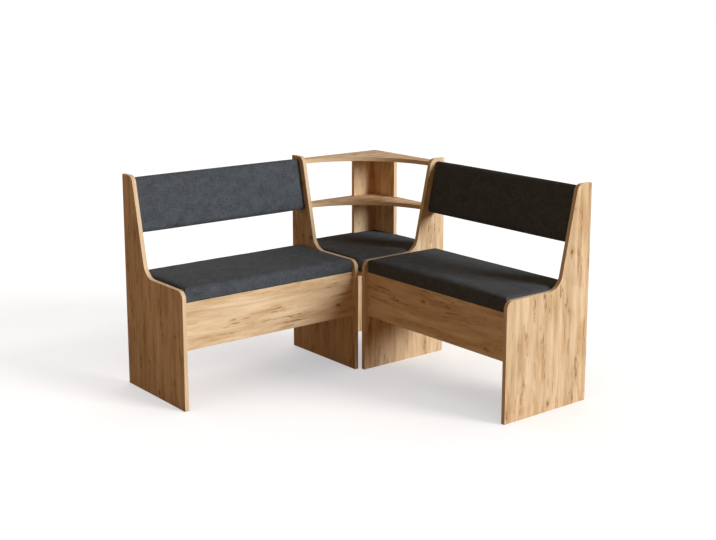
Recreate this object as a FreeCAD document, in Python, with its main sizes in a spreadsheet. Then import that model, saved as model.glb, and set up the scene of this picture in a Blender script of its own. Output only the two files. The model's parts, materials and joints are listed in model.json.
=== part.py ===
import FreeCAD, Part
import os
import re

import Sketcher
from FreeCAD import Placement, Rotation, Vector

# Corner storage bench: two benches with lift-up seats stand along two walls and meet at a corner
# seat with two shelves above it. Millimetres, +Z up. The origin is the middle of the footprint at
# floor level, the back wall is the plane y = footprint / 2 and the side wall x = footprint / 2.
# The bench along the back wall is built first, and the one along the side wall is its mirror image.

SIZES = (
    ("footprint", 1200, "side of the square that the whole bench stands on"),
    ("total_height", 800, "floor to the top of the side panels"),
    ("board", 16, "thickness of every laminated board"),
    ("band", 1, "thickness of the edge bands"),
    ("bench_length", 780, "one bench, over both of its side panels"),
    ("panel_depth", 410, "side panel, wall to front edge"),
    ("seat_line", 436, "height of the side panels in front of the backrest"),
    ("knee_depth", 150, "wall to where the sloped edge meets the seat line"),
    ("back_slope", 12.4, "lean of the sloped edge, degrees from upright"),
    ("top_round", 28, "radius of the panel's top front corner"),
    ("knee_round", 60, "radius of the panel's inner corner above the seat"),
    ("front_round", 30, "radius of the panel's front corner beside the seat"),
    ("apron_bottom", 216, "underside of the front apron"),
    ("apron_top", 390, "top of the front apron, under the seat"),
    ("apron_recess", 15, "apron face behind the panels' front edges"),
    ("rail_depth", 48, "wall to the rear rail of the storage box"),
    ("rail_drop", 5, "rear rail below the apron's top, for the folded hinges"),
    ("floor_lift", 10, "floor of the storage box above the apron's underside"),
    ("lid_gap", 0.4, "lid above the apron at rest"),
    ("side_gap", 2, "pad to side panel"),
    ("wrap", 3, "upholstery round the edges of its board"),
    ("seat_top", 440, "top of the seat pads"),
    ("seat_front", 396, "wall to the front of a seat pad"),
    ("seat_rear", 46, "wall to the rear of a bench's seat pad"),
    ("pad_round", 12, "radius of the pads' outer edges"),
    ("back_recess", 25, "backrest behind the panels' sloped edge"),
    ("back_padding", 28, "padding in front of the backrest board"),
    ("back_low", 165, "seat line to the backrest's lower edge, along the slope"),
    ("back_high", 369, "seat line to the backrest's upper edge, along the slope"),
    ("hinge_length", 60, "butt hinge, along its pin"),
    ("hinge_inset", 120, "side panel to the middle of a hinge"),
    ("axis_depth", 45, "wall to the hinge pins"),
    ("leaf", 1.2, "thickness of a hinge leaf"),
    ("half_fold", 1.5, "pin axis to the inner face of a leaf, folded"),
    ("knuckle_radius", 2.6, "outside of the hinge knuckles"),
    ("middle_knuckle", 20, "pitch of the hinge knuckles"),
    ("knuckle_gap", 0.3, "gap between hinge knuckles"),
    ("pin_radius", 1.6, "hinge pin"),
    ("pin_clearance", 0.05, "hinge pin to knuckle, on the radius"),
    ("pin_proud", 0.5, "hinge pin beyond the knuckles at each end"),
    ("leaf_start", 3.2, "pin axis to the near edge of a leaf"),
    ("frame_leaf", 15, "width of the leaf on the rear rail"),
    ("lid_leaf", 27, "width of the leaf under the lid"),
    ("hinge_screw_pitch", 36, "between the two screws of a leaf"),
    ("dowel_radius", 4, "wooden dowels"),
    ("dowel_length", 30, "wooden dowels"),
    ("dowel_short_end", 10, "dowel in the face of a board"),
    ("fit", 0.1, "clearance round dowels and cams, on the radius and at the end"),
    ("bolt_radius", 2.5, "cam bolt"),
    ("bolt_thread", 11, "cam bolt's thread in a side panel"),
    ("bolt_head_radius", 3.4, "cam bolt's head"),
    ("bolt_head", 3.5, "length of the cam bolt's head"),
    ("cam_reach", 24, "side panel to the middle of a cam"),
    ("cam_radius", 7.5, "cam lock"),
    ("cam_depth", 12.5, "cam lock's bore from the board's face"),
    ("cam_sunk", 0.3, "cam lock below the board's face"),
    ("cam_slot", 8, "driver slot across a cam lock"),
    ("cam_slot_width", 1.4, "driver slot across a cam lock"),
    ("fitting_low", 34, "apron's underside to the lower cams"),
    ("fitting_high", 134, "apron's underside to the upper cams"),
    ("fitting_middle", 84, "apron's underside to the dowels between the cams"),
    ("screw_radius", 1.75, "chipboard screws"),
    ("screw_head", 3.3, "countersunk head of the chipboard screws"),
    ("screw_head_depth", 1.9, "countersunk head of the chipboard screws"),
    ("screw_tip", 3, "pointed end of a screw"),
    ("screw_point", 0.4, "radius of a screw's blunt point"),
    ("recess_width", 0.9, "each arm of the cross recess in a screw's head"),
    ("recess_depth", 1.2, "cross recess in a screw's head"),
    ("short_screw", 13, "screws of the hinges and angle brackets"),
    ("long_screw", 30, "screws of the cleats"),
    ("post_screw", 50, "screws that join the two posts"),
    ("post_screw_radius", 2.5, "screws that join the two posts"),
    ("post_screw_head", 4.8, "screws that join the two posts"),
    ("pilot", 0.05, "clearance of a pilot hole, on the radius"),
    ("post_width", 128, "corner posts"),
    ("shelf_cut", 370, "radius of the shelves' hollow front edge"),
    ("top_shelf_height", 783, "upper face of the top shelf"),
    ("middle_shelf_height", 599.5, "upper face of the middle shelf"),
    ("shelf_cam", 33, "wall to the cam fitting at a shelf's end"),
    ("shelf_dowel", 12, "wall to the dowel at a shelf's end"),
    ("corner_cut", 12, "cut corner of the corner seat, between the two benches"),
    ("notch_gap", 0.5, "shelf and seat board to the posts"),
    ("pad_edge_gap", 1, "corner pad to the panels, the posts and the walls"),
    ("cleat", 20, "square cleats under the corner seat"),
    ("cleat_length", 300, "cleats under the corner seat"),
    ("bracket_leg", 25, "angle brackets"),
    ("bracket_width", 15, "angle brackets"),
    ("bracket_sheet", 2, "angle brackets"),
    ("bracket_hole", 15, "corner of an angle bracket to its screw"),
)

doc = FreeCAD.newDocument("corner_storage_bench")
sheet = doc.addObject("Spreadsheet::Sheet", "Sizes")
for row, (alias, size, meaning) in enumerate(SIZES, 1):
    sheet.set(f"A{row}", alias)
    sheet.set(f"B{row}", str(size))
    sheet.set(f"C{row}", meaning)
    sheet.setAlias(f"B{row}", alias)
doc.recompute()

ALIASES = re.compile(r"\b(" + "|".join(alias for alias, _, _ in SIZES) + r")\b")
X, Y, Z = Vector(1, 0, 0), Vector(0, 1, 0), Vector(0, 0, 1)
NODES = {}

# Planes and lines that many parts share, as expressions in the sheet's sizes.
HALF = "footprint / 2"
BENCH_START = "0 - footprint / 2"
BENCH_END = "bench_length - footprint / 2"
INSIDE_START = "board - footprint / 2"
INSIDE_END = "bench_length - footprint / 2 - board"
INSIDE_LENGTH = "(bench_length - 2 * board)"
APRON_FRONT = "(panel_depth - apron_recess)"
APRON_HEIGHT = "(apron_top - apron_bottom)"
RAIL_TOP = "(apron_top - rail_drop)"
AXIS_HEIGHT = "(apron_top + lid_gap - half_fold - leaf)"
CORNER_WIDTH = "(footprint - bench_length)"
LEAN = "tan(back_slope * 1 deg)"
COS = "cos(back_slope * 1 deg)"
SIN = "sin(back_slope * 1 deg)"


def sized(text):
    """The expression with each size's name pointing at its cell."""
    return ALIASES.sub(lambda found: "Sizes." + found.group(0), text)


def value(text):
    """The number that an expression has now."""
    return float(sheet.evalExpression(sized(text)))


def from_wall(depth):
    """The y of a place at this depth from the back wall."""
    return f"{HALF} - ({depth})"


def bind(thing, **sizes):
    """Ties properties of an object to expressions."""
    for name, text in sizes.items():
        thing.setExpression(name, sized(str(text)))
    return thing


def place(thing, x="0", y="0", z="0", turn=None):
    """Puts an object at a place that follows the sheet."""
    thing.Placement = Placement(Vector(), turn or Rotation())
    for axis, text in zip("xyz", (x, y, z)):
        thing.setExpression(f"Placement.Base.{axis}", sized(text))
    return thing


def node(name, thing):
    """Names a finished piece, which gets a file of its own."""
    thing.Label = name
    NODES[name] = thing
    return thing


def box(name, length, width, depth, x="0", y="0", z="0", turn=None):
    """A plain block with its low corner at a place."""
    block = doc.addObject("Part::Box", name)
    bind(block, Length=length, Width=width, Height=depth)
    return place(block, x, y, z, turn)


def rod(name, radius, length, x="0", y="0", z="0", turn=None):
    """A round bar that starts at a place and runs along its own +Z."""
    bar = doc.addObject("Part::Cylinder", name)
    bind(bar, Radius=radius, Height=length)
    return place(bar, x, y, z, turn)


def taper(name, radius, end_radius, length, z):
    """A cone along +Z."""
    cone = doc.addObject("Part::Cone", name)
    bind(cone, Radius1=radius, Radius2=end_radius, Height=length)
    return place(cone, z=z)


def fuse(name, *things):
    """One solid from pieces that touch."""
    joined = doc.addObject("Part::MultiFuse", name)
    joined.Shapes = list(things)
    joined.Refine = True
    return joined


def group(name, things):
    """Separate solids under one name."""
    several = doc.addObject("Part::Compound", name)
    several.Links = list(things)
    return several


def cut(name, base, tools):
    """A solid without what its tools take away."""
    rest = doc.addObject("Part::Cut", name)
    rest.Base = base
    rest.Tool = group(f"{name}_tools", tools)
    return rest


def mirror(name, thing):
    """The image of a piece in the upright plane through both corners, where the benches meet."""
    image = doc.addObject("Part::Mirroring", name)
    image.Source = thing
    image.Base = Vector()
    image.Normal = X - Y
    return image


def facing(along, side):
    """The turn that takes +Z along a direction and +X to a side."""
    return Rotation(side, along.cross(side), along, "ZXY")


def copies(master, stations):
    """One more of a master at each station, a place and a turn."""
    made = []
    for x, y, z, turn in stations:
        copy = doc.addObject("App::Link", f"{master.Name}_copy")
        copy.LinkedObject = master
        copy.LinkTransform = True
        made.append(place(copy, x, y, z, turn))
    return made


def plane(body, role):
    """One of a body's own origin planes."""
    return next(feature for feature in body.Origin.OriginFeatures if feature.Role == role)


def sketch_on(body, role):
    """An empty sketch on one of the body's origin planes."""
    sketch = body.newObject("Sketcher::SketchObject", "outline")
    sketch.AttachmentSupport = [(plane(body, role), "")]
    sketch.MapMode = "FlatFace"
    return sketch


def polygon(body, role, corners):
    """A closed outline of straight lines, each corner held by two sizes."""
    sketch = sketch_on(body, role)
    points = [Vector(value(across), value(up), 0) for across, up in corners]
    for here, there in zip(points, points[1:] + points[:1]):
        sketch.addGeometry(Part.LineSegment(here, there), False)
    for line in range(len(points)):
        following = (line + 1) % len(points)
        sketch.addConstraint(Sketcher.Constraint("Coincident", line, 2, following, 1))
    for line, (point, corner) in enumerate(zip(points, corners)):
        for kind, size, text, axis in (
            ("DistanceX", point.x, corner[0], -2),
            ("DistanceY", point.y, corner[1], -1),
        ):
            if abs(size) < 1e-6:
                sketch.addConstraint(Sketcher.Constraint("PointOnObject", line, 1, axis))
                continue
            held = sketch.addConstraint(Sketcher.Constraint(kind, -1, 1, line, 1, size))
            sketch.setExpression(f"Constraints[{held}]", sized(text))
    return sketch


def slab(name, role, corners, thickness, x="0", y="0", z="0", turn=None):
    """A body whose first feature is an outline given a thickness."""
    body = doc.addObject("PartDesign::Body", name)
    pad = body.newObject("PartDesign::Pad", "slab")
    pad.Profile = polygon(body, role, corners)
    bind(pad, Length=thickness)
    place(body, x, y, z, turn)
    doc.recompute()
    return body


def take_away(body, role, corners, depth, reverse=False):
    """A pocket from one of the body's origin planes."""
    before = body.Shape.Volume
    pocket = body.newObject("PartDesign::Pocket", "pocket")
    pocket.Profile = polygon(body, role, corners)
    pocket.Reversed = reverse
    bind(pocket, Length=depth)
    doc.recompute()
    assert body.Shape.Volume < before, f"{body.Name}: the pocket cuts nothing"


def round_edges(body, radius, *tests):
    """Rounds every edge of the body's tip that one of the tests picks."""
    base = body.Tip
    picked = []
    for count, edge in enumerate(base.Shape.Edges, 1):
        ends = [vertex.Point for vertex in edge.Vertexes]
        if len(ends) == 2 and any(test(*ends) for test in tests):
            picked.append(f"Edge{count}")
    assert picked, f"{body.Name}: no edge to round"
    fillet = body.newObject("PartDesign::Fillet", "round")
    fillet.Base = (base, picked)
    bind(fillet, Radius=radius)
    doc.recompute()


def near(size, text):
    """Whether a length is what an expression gives."""
    return abs(size - value(text)) < 1e-3


def along_x_at(y, z):
    """Picks the edge that runs along X at this y and z of the body."""
    return lambda a, b: all(near(p.y, y) and near(p.z, z) for p in (a, b))


def panel_outline(name, inset, x):
    """The side panel's shape, drawn back by an inset from its front and top edges."""
    shift = f"({inset}) * (1 / {COS} - {LEAN})"
    seat = f"seat_line - ({inset})"
    top = f"total_height - ({inset})"
    front = f"({inset}) - panel_depth"
    knee = f"({shift}) - knee_depth"
    top_corner = f"({shift}) - knee_depth + (total_height - seat_line) * {LEAN}"
    corners = (
        ("0", "0"),
        (front, "0"),
        (front, seat),
        (knee, seat),
        (top_corner, top),
        ("0", top),
    )
    body = slab(name, "YZ_Plane", corners, "board", x, HALF, "0")
    round_edges(body, f"front_round - ({inset})", along_x_at(front, seat))
    round_edges(body, f"knee_round + ({inset})", along_x_at(knee, seat))
    round_edges(body, f"top_round - ({inset})", along_x_at(top_corner, top))
    return body


def side_panel(name, x, bores):
    """A side panel and the band along its front and top edges."""
    core = panel_outline(f"{name}_core", "band", x)
    full = panel_outline(f"{name}_full", "0", x)
    node(name, cut(name, core, bores))
    node(f"{name}_band", cut(f"{name}_band", full, [core]))


def screw(name, radius, head, length, loose="0"):
    """A countersunk screw or its pilot hole: flat of the head at the origin, shank down -Z."""
    tip = f"({length}) - screw_tip"
    shank = rod(f"{name}_shank", f"{radius} + {loose}", tip, z=f"0 - ({tip})")
    wide = f"{radius} + {loose}"
    depth = "screw_head_depth"
    top = taper(f"{name}_head", wide, f"{head} + {loose}", depth, f"0 - {depth}")
    end = taper(f"{name}_tip", "screw_point", wide, "screw_tip", f"0 - ({length})")
    return fuse(name, shank, top, end)


def recessed(name, head, blank):
    """A screw with a cross recess in its head."""
    arm = f"1.1 * {head}"
    sunk = "0 - recess_depth"
    middle = "0 - recess_width / 2"
    arms = [
        box(f"{name}_across", arm, "recess_width", "recess_depth", f"0 - {arm} / 2", middle, sunk),
        box(f"{name}_along", "recess_width", arm, "recess_depth", middle, f"0 - {arm} / 2", sunk),
    ]
    return cut(name, blank, arms)


# Masters of the fasteners, each at the origin. A cam fitting and a dowel cross the origin plane
# where two boards meet: -Z lies in the face of one board and +Z in the end of the other.
short_blank = screw("short_screw_blank", "screw_radius", "screw_head", "short_screw")
hinge_screw = recessed("short_screw_master", "screw_head", short_blank)
hinge_pilot = screw("short_pilot", "screw_radius", "screw_head", "short_screw", "pilot")
long_blank = screw("long_screw_blank", "screw_radius", "screw_head", "long_screw")
cleat_screw = recessed("long_screw_master", "screw_head", long_blank)
cleat_pilot = screw("long_pilot", "screw_radius", "screw_head", "long_screw", "pilot")
post_blank = screw("post_screw_blank", "post_screw_radius", "post_screw_head", "post_screw")
post_screw = recessed("post_screw_master", "post_screw_head", post_blank)
post_pilot = screw("post_pilot", "post_screw_radius", "post_screw_head", "post_screw", "pilot")

dowel = rod("dowel_master", "dowel_radius", "dowel_length", z="0 - dowel_short_end")
dowel_bore = rod(
    "dowel_bore",
    "dowel_radius + fit",
    "dowel_length + 2 * fit",
    z="0 - dowel_short_end - fit",
)

BOLT_TIP = "cam_reach + bolt_head_radius / 2"
cam_bolt = fuse(
    "cam_bolt_master",
    rod("bolt_shank", "bolt_radius", f"bolt_thread + {BOLT_TIP}", z="0 - bolt_thread"),
    rod("bolt_head", "bolt_head_radius", "bolt_head", z=f"{BOLT_TIP} - bolt_head"),
)
head_room = rod("bolt_head_room", "bolt_head_radius + fit", f"{BOLT_TIP} + fit")
SIDEWAYS = facing(X, Z)
CAM_START = "board / 2 - cam_depth"
cam_blank = rod(
    "cam_blank",
    "cam_radius",
    "cam_depth - cam_sunk",
    CAM_START,
    "0",
    "cam_reach",
    SIDEWAYS,
)
slot_at = {"x": "board / 2 - cam_sunk - cam_slot_width"}
cam_lock = cut(
    "cam_lock_master",
    cam_blank,
    [
        head_room,
        box(
            "cam_slot_across",
            "2 * cam_slot_width",
            "cam_slot",
            "cam_slot_width",
            y="0 - cam_slot / 2",
            z="cam_reach - cam_slot_width / 2",
            **slot_at,
        ),
        box(
            "cam_slot_along",
            "2 * cam_slot_width",
            "cam_slot_width",
            "cam_slot",
            y="0 - cam_slot_width / 2",
            z="cam_reach - cam_slot / 2",
            **slot_at,
        ),
    ],
)
cam_bore = fuse(
    "cam_bore",
    head_room,
    rod(
        "thread_bore",
        "bolt_radius + pilot",
        "bolt_thread + 2 * fit",
        z="0 - bolt_thread - fit",
    ),
    rod(
        "cam_round_bore",
        "cam_radius + fit",
        "cam_depth + fit",
        f"{CAM_START} - fit",
        "0",
        "cam_reach",
        SIDEWAYS,
    ),
)

# Shares of a board's length at which its fittings stand.
FLOOR_END_DOWELS = (0.2, 0.8)
FLOOR_SIDE_DOWELS = (0.2, 0.5, 0.8)
POST_DOWELS = (0.3, 0.75)
POST_SCREWS = (0.12, 0.37, 0.63, 0.9)
POST_BRACKET = 0.6
CLEAT_SIDE_SCREWS = (0.1, 0.5, 0.9)
CLEAT_TOP_SCREWS = (0.3, 0.7)
LID_LEAF_SCREW = 0.6

# Where the fittings of one bench go. The ends of the apron, the rear rail and the backrest board
# meet both side panels, and the storage floor meets all four boards round it.
LOW = "apron_bottom + fitting_low"
HIGH = "apron_bottom + fitting_high"
MIDDLE = "apron_bottom + fitting_middle"
APRON_MIDDLE = from_wall(f"{APRON_FRONT} - board / 2")
RAIL_MIDDLE = from_wall("rail_depth + board / 2")
FLOOR_BOTTOM = "(apron_bottom + floor_lift)"
FLOOR_MIDDLE = f"{FLOOR_BOTTOM} + board / 2"
FLOOR_REAR = "rail_depth + board"
FLOOR_FRONT = f"({APRON_FRONT} - board)"
BACK_MIDDLE = "back_recess + back_padding + board / 2"
lean_turn = Rotation(X, -value("back_slope"))


def on_slope(behind, up):
    """The y and z of a place behind the sloped edge and up along it."""
    y = f"{HALF} - knee_depth + ({behind}) * {COS} + ({up}) * {SIN}"
    z = f"seat_line - ({behind}) * {SIN} + ({up}) * {COS}"
    return y, z


def at_both_ends(y, z, side):
    """Stations at the two side panels of a bench, with the cam's side turned as asked."""
    return [
        (INSIDE_START, y, z, facing(X, side)),
        (INSIDE_END, y, z, facing(-X, side)),
    ]


bench_cams = []
for z in (LOW, HIGH):
    bench_cams += at_both_ends(APRON_MIDDLE, z, Y)
    bench_cams += at_both_ends(RAIL_MIDDLE, z, -Y)
for up in ("back_low + board * 2", "back_high - board * 2"):
    y, z = on_slope(BACK_MIDDLE, up)
    bench_cams += at_both_ends(y, z, lean_turn.multVec(Y))

bench_dowels = at_both_ends(APRON_MIDDLE, MIDDLE, Y) + at_both_ends(RAIL_MIDDLE, MIDDLE, Y)
y, z = on_slope(BACK_MIDDLE, "(back_low + back_high) / 2")
bench_dowels += at_both_ends(y, z, Y)
for share in FLOOR_END_DOWELS:
    depth = f"{FLOOR_REAR} + ({FLOOR_FRONT} - rail_depth - board) * {share}"
    bench_dowels += at_both_ends(from_wall(depth), FLOOR_MIDDLE, Y)
for share in FLOOR_SIDE_DOWELS:
    x = f"{INSIDE_START} + {INSIDE_LENGTH} * {share}"
    bench_dowels += [
        (x, from_wall(FLOOR_FRONT), FLOOR_MIDDLE, facing(Y, X)),
        (x, from_wall(FLOOR_REAR), FLOOR_MIDDLE, facing(-Y, X)),
    ]

# The corner's fittings on the bench along the back wall; the other bench has their mirror images.
SHELF_HEIGHTS = ("top_shelf_height - board / 2", "middle_shelf_height - board / 2")
CORNER_SEAT = "(apron_top - board)"
corner_cams = [(BENCH_END, from_wall("shelf_cam"), z, facing(X, -Z)) for z in SHELF_HEIGHTS]
corner_dowels = [(BENCH_END, from_wall("shelf_dowel"), z, facing(X, Z)) for z in SHELF_HEIGHTS]
POST_TOP = "(top_shelf_height - board)"
corner_dowels += [
    (f"{HALF} - post_width * {share}", from_wall("board / 2"), POST_TOP, facing(-Z, X))
    for share in POST_DOWELS
]
CLEAT_START = f"({CORNER_WIDTH} - cleat_length) / 2"
cleat_screws = [
    (
        f"{BENCH_END} + cleat",
        from_wall(f"{CLEAT_START} + cleat_length * {share}"),
        f"{CORNER_SEAT} - cleat / 2",
        facing(X, Z),
    )
    for share in CLEAT_SIDE_SCREWS
] + [
    (
        f"{BENCH_END} + cleat / 2",
        from_wall(f"{CLEAT_START} + cleat_length * {share}"),
        f"{CORNER_SEAT} - cleat",
        facing(-Z, X),
    )
    for share in CLEAT_TOP_SCREWS
]
post_screws = [
    (f"{HALF} - board / 2", HALF, f"{POST_TOP} * {share}", facing(Y, X))
    for share in POST_SCREWS
]
BRACKET_X = f"{HALF} - post_width * {POST_BRACKET}"
BRACKET_Y = from_wall("board")
bracket_places = [
    (BRACKET_X, BRACKET_Y, z, facing(Z, -Y))
    for z in (CORNER_SEAT, "(middle_shelf_height - board)")
]
bracket_screws = []
for x, y, z, _ in bracket_places:
    bracket_screws += [
        (x, f"{y} - bracket_hole", f"{z} - bracket_sheet", facing(-Z, X)),
        (x, f"{y} - bracket_sheet", f"{z} - bracket_hole", facing(-Y, X)),
    ]

cam_tools = copies(cam_bore, bench_cams)
dowel_tools = copies(dowel_bore, bench_dowels)
corner_cam_tools = copies(cam_bore, corner_cams)
corner_dowel_tools = copies(dowel_bore, corner_dowels)
cleat_tools = copies(cleat_pilot, cleat_screws)
bracket_tools = copies(hinge_pilot, bracket_screws)
post_tools = copies(post_pilot, post_screws)


def storage_bench():
    """The bench along the back wall, but for its hinges and lid."""
    fittings = cam_tools + dowel_tools
    side_panel("left_outer_panel", BENCH_START, fittings)
    corner_bores = corner_cam_tools + corner_dowel_tools + cleat_tools
    side_panel("left_inner_panel", INSIDE_END, fittings + corner_bores)

    apron_core = box(
        "apron_core",
        INSIDE_LENGTH,
        "board",
        f"{APRON_HEIGHT} - 2 * band",
        INSIDE_START,
        from_wall(APRON_FRONT),
        "apron_bottom + band",
    )
    node("left_apron", cut("left_apron", apron_core, fittings))
    strips = [
        box("apron_strip", INSIDE_LENGTH, "board", "band", INSIDE_START, from_wall(APRON_FRONT), z)
        for z in ("apron_bottom", "apron_top - band")
    ]
    node("left_apron_band", group("left_apron_band", strips))

    rail = box(
        "rail_blank",
        INSIDE_LENGTH,
        "board",
        f"{RAIL_TOP} - apron_bottom",
        INSIDE_START,
        from_wall(FLOOR_REAR),
        "apron_bottom",
    )
    node("left_rear_rail", cut("left_rear_rail", rail, fittings + hinge_tools))

    floor = box(
        "floor_blank",
        INSIDE_LENGTH,
        f"{FLOOR_FRONT} - rail_depth - board",
        "board",
        INSIDE_START,
        from_wall(FLOOR_FRONT),
        FLOOR_BOTTOM,
    )
    node("left_storage_floor", cut("left_storage_floor", floor, dowel_tools))

    node("left_dowels", group("left_dowels", copies(dowel, bench_dowels)))
    node("left_cam_bolts", group("left_cam_bolts", copies(cam_bolt, bench_cams)))
    node("left_cam_locks", group("left_cam_locks", copies(cam_lock, bench_cams)))


def backrest():
    """The leaning backrest: a board held by the side panels and a pad wrapped over its edges."""
    low_y, low_z = on_slope("back_recess + back_padding", "back_low + wrap")
    blank = box(
        "back_board_blank",
        INSIDE_LENGTH,
        "board",
        "back_high - back_low - 2 * wrap",
        INSIDE_START,
        low_y,
        low_z,
        lean_turn,
    )
    node("left_back_board", cut("left_back_board", blank, cam_tools + dowel_tools))

    pad_y, pad_z = on_slope("back_recess", "back_low")
    height = "back_high - back_low"
    full = "back_padding + board"
    corners = (
        ("0", "0"),
        (full, "0"),
        (full, "wrap"),
        ("back_padding", "wrap"),
        ("back_padding", f"{height} - wrap"),
        (full, f"{height} - wrap"),
        (full, height),
        ("0", height),
    )
    length = f"{INSIDE_LENGTH} - 2 * side_gap"
    start = f"{INSIDE_START} + side_gap"
    pad = slab("left_back_pad", "YZ_Plane", corners, length, start, pad_y, pad_z, lean_turn)
    round_edges(pad, "pad_round", along_x_at("0", "0"), along_x_at("0", height))
    node("left_back_pad", pad)


def seat_lid():
    """The seat that lifts: a board and a pad wrapped over its four edges."""
    rear, front = "seat_rear + wrap", "seat_front - wrap"
    underside = "apron_top + lid_gap"
    blank = box(
        "seat_board_blank",
        f"{INSIDE_LENGTH} - 2 * side_gap - 2 * wrap",
        f"({front}) - ({rear})",
        "board",
        f"{INSIDE_START} + side_gap + wrap",
        from_wall(front),
        underside,
    )
    node("left_seat_board", cut("left_seat_board", blank, lid_tools))

    length = f"{INSIDE_LENGTH} - 2 * side_gap"
    depth = "seat_front - seat_rear"
    height = "seat_top - apron_top - lid_gap"
    rectangle = (("0", "0"), (length, "0"), (length, depth), ("0", depth))
    start = f"{INSIDE_START} + side_gap"
    pad_front = from_wall("seat_front")
    pad = slab("left_seat_pad", "XY_Plane", rectangle, height, start, pad_front, underside)
    inner = (
        ("wrap", "wrap"),
        (f"{length} - wrap", "wrap"),
        (f"{length} - wrap", f"{depth} - wrap"),
        ("wrap", f"{depth} - wrap"),
    )
    take_away(pad, "XY_Plane", inner, "board", reverse=True)
    round_edges(pad, "pad_round", lambda a, b: near(a.z, height) and near(b.z, height))
    node("left_seat_pad", pad)


def leaf(name, width, side, knuckles, screw_turn, screw_width):
    """One leaf of a butt hinge, with its pin along X through the origin. side is -1 for the leaf
    under the pin and 1 for the one above it; knuckles are the starts and lengths of its rolls."""
    plate_z = "half_fold" if side > 0 else "0 - half_fold - leaf"
    plate = box(
        f"{name}_plate",
        "hinge_length",
        width,
        "leaf",
        "0 - hinge_length / 2",
        f"0 - leaf_start - {width}",
        plate_z,
    )
    parts = [plate]
    for start, length in knuckles:
        roll = rod(f"{name}_knuckle", "knuckle_radius", length, start, turn=facing(X, Z))
        inner = "0 - leaf_start"
        tongue = box(f"{name}_tongue", length, "leaf_start", "leaf", start, inner, plate_z)
        parts += [roll, tongue]
    pin_bore = rod(
        f"{name}_bore",
        "pin_radius + pin_clearance",
        "hinge_length + 2",
        "0 - hinge_length / 2 - 1",
        turn=facing(X, Z),
    )
    holes = [
        (
            f"{sign} * hinge_screw_pitch / 2",
            f"0 - {screw_width}",
            f"{side} * half_fold",
            screw_turn,
        )
        for sign in (-1, 1)
    ]
    body = cut(name, fuse(f"{name}_solid", *parts), [pin_bore] + copies(hinge_pilot, holes))
    return body, holes


HINGES = (
    f"{INSIDE_START} + hinge_inset",
    f"{INSIDE_END} - hinge_inset",
)
hinge_places = [(x, from_wall("axis_depth"), AXIS_HEIGHT, Rotation()) for x in HINGES]
OUTER_KNUCKLE = "((hinge_length - middle_knuckle - knuckle_gap) / 2)"
frame_leaf, frame_holes = leaf(
    "frame_leaf_master",
    "frame_leaf",
    -1,
    (
        ("0 - hinge_length / 2", OUTER_KNUCKLE),
        (f"hinge_length / 2 - {OUTER_KNUCKLE}", OUTER_KNUCKLE),
    ),
    Rotation(),
    "(rail_depth + board / 2 - axis_depth)",
)
lid_leaf, lid_holes = leaf(
    "lid_leaf_master",
    "lid_leaf",
    1,
    (("(knuckle_gap - middle_knuckle) / 2", "middle_knuckle - knuckle_gap"),),
    facing(-Z, X),
    f"(leaf_start + lid_leaf * {LID_LEAF_SCREW})",
)


def at_hinges(holes):
    """The stations of a leaf's screws at both hinges."""
    return [
        (f"{x} + {across}", f"{y} + {along}", f"{z} + {up}", turn)
        for x, y, z, _ in hinge_places
        for across, along, up, turn in holes
    ]


hinge_tools = copies(hinge_pilot, at_hinges(frame_holes))
lid_tools = copies(hinge_pilot, at_hinges(lid_holes))


def hinges():
    """Two butt hinges between the rear rail and the lid, each of two leaves, a pin and screws."""
    pin = rod(
        "hinge_pin_master",
        "pin_radius",
        "hinge_length + 2 * pin_proud",
        "0 - hinge_length / 2 - pin_proud",
        turn=facing(X, Z),
    )
    for name, master, stations in (
        ("left_hinge_frame_leaves", frame_leaf, hinge_places),
        ("left_hinge_lid_leaves", lid_leaf, hinge_places),
        ("left_hinge_frame_screws", hinge_screw, at_hinges(frame_holes)),
        ("left_hinge_lid_screws", hinge_screw, at_hinges(lid_holes)),
    ):
        node(name, group(name, copies(master, stations)))
    node("left_hinge_pins", group("left_hinge_pins", copies(pin, hinge_places)))


def notched(loose, edge, far):
    """The outline of a square piece in the wall corner, cut out round the two posts by a loose
    fit: the places of its edges along the walls and away from them, with the wall corner at the
    origin and the piece at negative x and y. The corner in the room is left open."""
    near_wall = f"0 - board - {loose}"
    past_left = f"0 - post_width - {loose}"
    past_right = f"0 - post_width - board - {loose}"
    return [
        (far, edge),
        (past_left, edge),
        (past_left, near_wall),
        (near_wall, near_wall),
        (near_wall, past_right),
        (edge, past_right),
        (edge, far),
    ]


def shelf(name, height, corners):
    """A shelf in the corner with a hollow quarter-circle front edge and a band along it."""
    boards = []
    for inset in ("band", "0"):
        blank = slab(f"{name}_blank", "XY_Plane", corners, "board", HALF, HALF, f"{height} - board")
        scoop = rod(
            f"{name}_scoop",
            f"shelf_cut + {inset}",
            "3 * board",
            BENCH_END,
            BENCH_END,
            f"{height} - 2 * board",
        )
        boards.append(cut(f"{name}_shape", blank, [scoop]))
    return boards


def corner_shelves():
    """The middle shelf goes round the posts, and the top shelf lies on them."""
    far = f"0 - {CORNER_WIDTH}"
    square = ((far, "0"), ("0", "0"), ("0", far), (far, far))
    round_posts = notched("notch_gap", "0", far) + [(far, far)]
    for name, height, corners in (
        ("corner_top_shelf", "top_shelf_height", square),
        ("corner_middle_shelf", "middle_shelf_height", round_posts),
    ):
        core, full = shelf(name, height, corners)
        node(name, cut(name, core, corner_tools))
        node(f"{name}_band", cut(f"{name}_band", full, [core]))


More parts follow.
